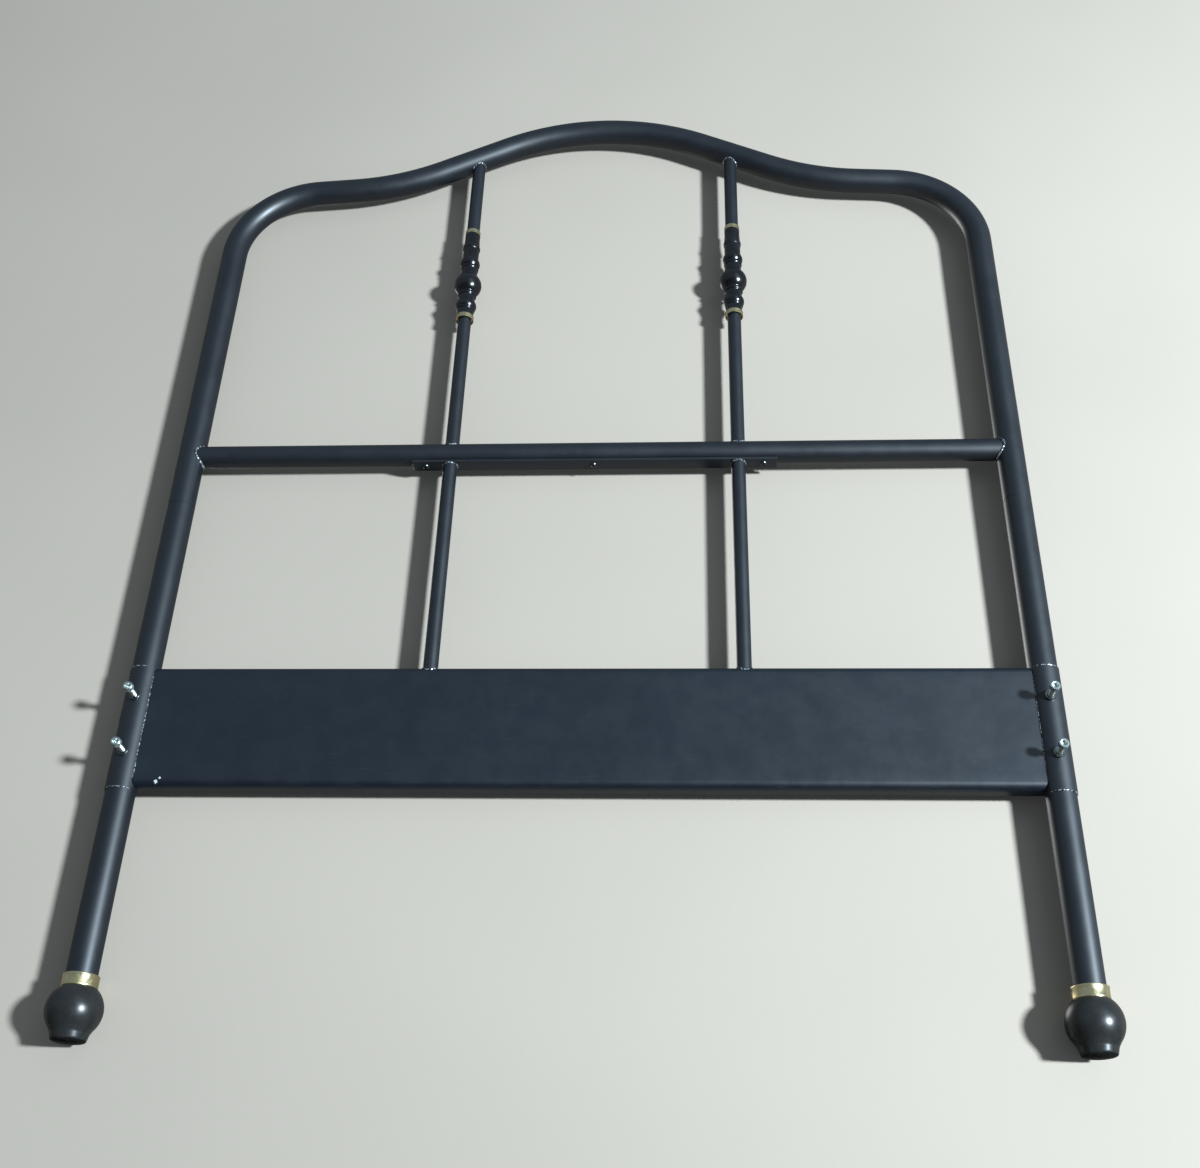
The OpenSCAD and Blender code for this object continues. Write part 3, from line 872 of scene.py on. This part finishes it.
def make_ornaments():
    bore, steps = SPINDLE_R + FIT_GAP, 334
    heights = [ORNAMENT_LEN * i / steps for i in range(steps + 1)]
    radii = smoothed(heights, ornament_radius, ORNAMENT_FILLET)
    turned = [(bore, 0.0)] + list(zip(radii, heights)) + [(bore, ORNAMENT_LEN)]
    for side_name, side in SIDES:
        ornament = f"ornament_{side_name}"
        make_sleeve(ornament, "turned", side, turned, BLACK, n=80, sharp=50)
        top_ring = f"ornament_top_ring_{side_name}"
        make_sleeve(top_ring, "rolled", side, rolled_band(bore, top_ring, RING_RIM), BRASS)
        cup_ring = f"ornament_cup_ring_{side_name}"
        make_sleeve(cup_ring, "rolled", side, cup_profile(bore, cup_ring), BRASS)


def foot_radius(z):
    """Outer radius of the ball foot: a tapered base under a ball cut flat on top."""
    z = min(max(z, 0.0), BALL_TOP)
    ball = disc(z, BALL_Z, 0, BALL_R) if z > BALL_FROM else 0.0
    return max(ball, between(FOOT_BASE, z))


def foot_profile():
    """Profile of the foot from its base, up the ball and the stem, and down the stem's bore."""
    count = int(BALL_TOP / FOOT_STEP)
    heights = [FOOT_STEP * i for i in range(count)] + [BALL_TOP]
    radii = smoothed(heights, foot_radius, FOOT_FILLET)
    radii[0] -= FOOT_EDGE
    rim = radii[-1]
    profile = list(zip(radii[:-3], heights[:-3])) + [(rim - 0.1, BALL_TOP - 0.4), (rim - 0.7, BALL_TOP)]
    profile += [(STEM_R, BALL_TOP), (STEM_R, STEM_TOP - STEM_EDGE), (STEM_R - STEM_EDGE, STEM_TOP)]
    return profile + [(STEM_BORE_R, STEM_TOP), (STEM_BORE_R, STEM_PIT)]


def make_feet():
    foot = lathe(foot_profile(), 96, cap_start=True, cap_end=True)
    collar = lathe(rolled_band(LEG_R + FIT_GAP, "foot_collar_right", COLLAR_RIM), 96, closed=True)
    collar_low = node_box("foot_collar_right")[0].z
    for side_name, side in SIDES:
        piece(f"ball_foot_{side_name}_moulded", foot.moved(at(side * LEG_X, 0, 0)), PLASTIC,
              replaces=[f"ball_foot_{side_name}"])
        piece(f"foot_collar_{side_name}_rolled", collar.moved(at(side * LEG_X, 0, collar_low)), BRASS,
              replaces=[f"foot_collar_{side_name}"])


# ---------------------------------------------------------------- welds

def bead(line, axis, r, seed, closed=True):
    """Rippled weld bead along a line of points; axis is never parallel to the line.

    The swell repeats every few points and drifts along the seam; an open bead thins out at its ends.
    """
    ripple, facets = 2.2, 12
    n, rings = len(line), []
    for i, p in enumerate(line):
        before = line[(i - 1) % n] if closed or i else p
        after = line[(i + 1) % n] if closed or i < n - 1 else p
        across = (after - before).normalized().cross(axis).normalized()
        up = across.cross((after - before).normalized())
        swell = 1 + 0.16 * math.sin(2 * math.pi * i / ripple) + 0.30 * drift(p, 0.16, seed)
        if not closed:
            swell *= 0.25 + 0.75 * math.sin(math.pi * (i + 0.35) / (n - 0.3)) ** 0.35
        rings.append([p + r * swell * (math.cos(turn(j, facets)) * across + math.sin(turn(j, facets)) * up)
                      for j in range(facets)])
    if closed:
        return Shells().loft(rings, closed=True)
    return Shells().loft(rings, cap_start=True, cap_end=True)


def weld(name, line, axis, r, seed, closed=True):
    piece(f"weld_{name}", bead(line, Vector(axis), r, seed, closed), WELD)


def rail_weld_line(side, n=60):
    """Where the rail's end meets a leg."""
    rim = [(RAIL_R * math.cos(turn(i, n)), RAIL_R * math.sin(turn(i, n))) for i in range(n)]
    return [Vector((side * (LEG_X - leg_gap(y) - 0.2), y, RAIL_Z + z)) for y, z in rim]


def spindle_weld_lines(side, n=44):
    """Where both spindles of a side meet the rail, the hoop, the strip and the panel."""
    rim = [(side * SPINDLE_X + SPINDLE_R * math.cos(turn(i, n)), SPINDLE_R * math.sin(turn(i, n)))
           for i in range(n)]
    return {
        "upper_spindle_to_rail": [Vector((x, y, rail_top(y) + 0.2)) for x, y in rim],
        "upper_spindle_to_hoop": [Vector((x, y, flank_under(abs(x), y) - 0.3)) for x, y in rim],
        "lower_spindle_to_strip": [Vector((x, y, strip_lo.z - 0.3)) for x, y in rim],
        "lower_spindle_to_panel": [Vector((x, y, panel_over(y) + 0.3)) for x, y in rim],
    }


def panel_weld_line(side, seed):
    """Down the front corner between the panel's face and a saddle, a little uneven."""
    front = -PANEL_Y
    reach = side * (LEG_X - leg_gap(front, SADDLE_R))
    line = []
    for i in range(round(PANEL_FACE / SEAM_STEP) + 1):
        z = PANEL_Z0 + FOLD_R + i * SEAM_STEP
        line.append(Vector((reach - side * 0.6 + 0.5 * drift((0, 0, z), 0.09, seed), front - 0.1, z)))
    return line


def saddle_weld_line(side, z, n=34):
    """Along a saddle's upper or lower edge, from the panel round the leg's front."""
    r, line = SADDLE_R + 0.35, []
    for i in range(n):
        a = math.radians(-SADDLE_INNER_DEG + (SADDLE_INNER_DEG + SADDLE_OUTER_DEG) * i / (n - 1))
        line.append(Vector((side * (LEG_X + r * math.sin(a)), -r * math.cos(a), z)))
    return line


def make_welds():
    up = (0, 0, 1)
    for side_name, side in SIDES:
        seed = 3 + side
        weld(f"rail_to_leg_{side_name}", rail_weld_line(side), (1, 0, 0), RAIL_BEAD, seed)
        for k, (what, line) in enumerate(spindle_weld_lines(side).items()):
            weld(f"{what}_{side_name}", line, up, SPINDLE_BEAD, seed + k)
        weld(f"panel_to_leg_{side_name}", panel_weld_line(side, seed), (0, 1, 0), PANEL_BEAD, seed + 7,
             closed=False)
        for what, z in (("top", saddle_hi.z), ("bottom", saddle_lo.z)):
            weld(f"saddle_{what}_{side_name}", saddle_weld_line(side, z), up, SADDLE_BEAD, seed + z,
                 closed=False)


make_hoop()
make_legs()
make_rail()
make_spindles()
make_panel()
make_strip()
make_strip_screws()
make_bolts()
make_washers()
make_ornaments()
make_feet()
make_welds()


# ---------------------------------------------------------------- finish of the CAD nodes

def dress(node_object, material):
    node_object.data.materials.clear()
    node_object.data.materials.append(material)


# The saddles, inserts and spigots keep their CAD shape; the other nodes are replaced and hidden
for node_name, node_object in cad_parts.items():
    if node_object.hide_render or node_name.startswith("leg_saddle"):
        dress(node_object, FRAME_PAINT)
dress(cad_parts["rail_inserts"], INSERT_ZINC)
dress(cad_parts["leg_spigot_left"], STEEL)
dress(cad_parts["leg_spigot_right"], STEEL)


# ---------------------------------------------------------------- stage, light and camera, in metres

STAGE_HALF = 6.0
BACK_Y, BACK_LOW, BACK_HIGH = 0.0275, -3, 4
FLOOR_Z = -0.0005
LIGHT_TARGET = Vector((0, 0, 0.6))


def stage_material(name, colour, bounces=True):
    """Pale matt paper, seen from its front only, that lets the lamps shine through it.

    It is darker in reflections, and without bounces it throws no light back on the object.
    """
    m = NodeMaterial(name)
    tone = m.span(m.noise(1.6, 3.0), 0.3, 0.7)
    rays = m.tree.nodes.new("ShaderNodeLightPath")
    paper = m.mix(tone, colour, tuple(c * 0.94 for c in colour))
    paper = m.mix(rays.outputs["Is Glossy Ray"], paper, tuple(c * 0.35 for c in colour))
    m.link(paper, m.bsdf.inputs["Base Color"])
    m.link(m.bump(m.noise(90.0, 3.0), 0.1, 0.001), m.bsdf.inputs["Normal"])
    m.set(Roughness=0.9, Specular_IOR_Level=0.1)
    clear = m.tree.nodes.new("ShaderNodeBsdfTransparent")
    facing = m.tree.nodes.new("ShaderNodeNewGeometry")
    unseen = m.math("MAXIMUM", facing.outputs["Backfacing"], rays.outputs["Is Shadow Ray"])
    if not bounces:
        unseen = m.math("MAXIMUM", unseen, rays.outputs["Is Diffuse Ray"])
    mixed = m.tree.nodes.new("ShaderNodeMixShader")
    for source, socket in zip((unseen, m.bsdf.outputs[0], clear.outputs[0]), mixed.inputs):
        m.link(source, socket)
    m.link(mixed.outputs[0], m.out.inputs["Surface"])
    return m.material


def stage_plane(name, corners, material):
    mesh = bpy.data.meshes.new(name)
    mesh.from_pydata(corners, [], [(0, 1, 2, 3)])
    mesh.materials.append(material)
    obj = add_object(name, mesh)
    return obj


def area_light(name, direction, distance, size, power, colour):
    """Round lamp that shines on the middle of the object from a direction."""
    towards = Vector(direction).normalized()
    data = bpy.data.lights.new(name, "AREA")
    data.shape = "DISK"
    data.size = size
    data.energy = power
    data.color = colour
    obj = add_object(name, data)
    obj.location = LIGHT_TARGET + towards * distance
    obj.rotation_mode = "QUATERNION"
    obj.rotation_quaternion = towards.to_track_quat("Z", "Y")
    return obj


def make_stage():
    """Backdrop close behind the object, and the floor under it."""
    h = STAGE_HALF
    stage_plane("backdrop", [(-h, BACK_Y, BACK_LOW), (h, BACK_Y, BACK_LOW), (h, BACK_Y, BACK_HIGH),
                             (-h, BACK_Y, BACK_HIGH)],
                stage_material("backdrop_paper", (0.455, 0.385, 0.317)))
    return stage_plane("floor", [(-h, -h, FLOOR_Z), (h, -h, FLOOR_Z), (h, h, FLOOR_Z), (-h, h, FLOOR_Z)],
                       stage_material("floor_paper", (0.472, 0.40, 0.33), bounces=False))


def make_lights(floor):
    key = area_light("key", (0.70, -0.69, -0.17), distance=4.2, size=0.40, power=400,
                     colour=(0.78, 0.95, 1.09))
    area_light("fill", (0.5, -0.8, 0.35), distance=5.0, size=3.0, power=14, colour=(0.72, 0.90, 1.0))
    area_light("rear", (-0.5, 0.75, 0.45), distance=4.5, size=1.6, power=60, colour=(0.97, 0.98, 1.0))
    # the key light stands level with the floor and would burn a patch into it
    spared = bpy.data.collections.new("not_lit_by_key")
    spared.objects.link(floor)
    spared.collection_objects[0].light_linking.link_state = "EXCLUDE"
    key.light_linking.receiver_collection = spared
    world = bpy.data.worlds.new("studio")
    bpy.context.scene.world = world
    world.use_nodes = True
    sky = world.node_tree.nodes["Background"]
    sky.inputs["Color"].default_value = (0.66, 0.84, 1.0, 1)
    sky.inputs["Strength"].default_value = 0.28


def make_camera():
    data = bpy.data.cameras.new("camera")
    data.sensor_width = 36.0
    data.lens = 43.2
    data.clip_end = 60
    camera = add_object("camera", data)
    camera.location = (0.1024, -1.3207, -0.3090)
    camera.rotation_euler = [math.radians(a) for a in (121.04, -1.52, 3.02)]
    bpy.context.scene.camera = camera


make_lights(make_stage())
make_camera()
bpy.context.scene.view_settings.view_transform = "Standard"
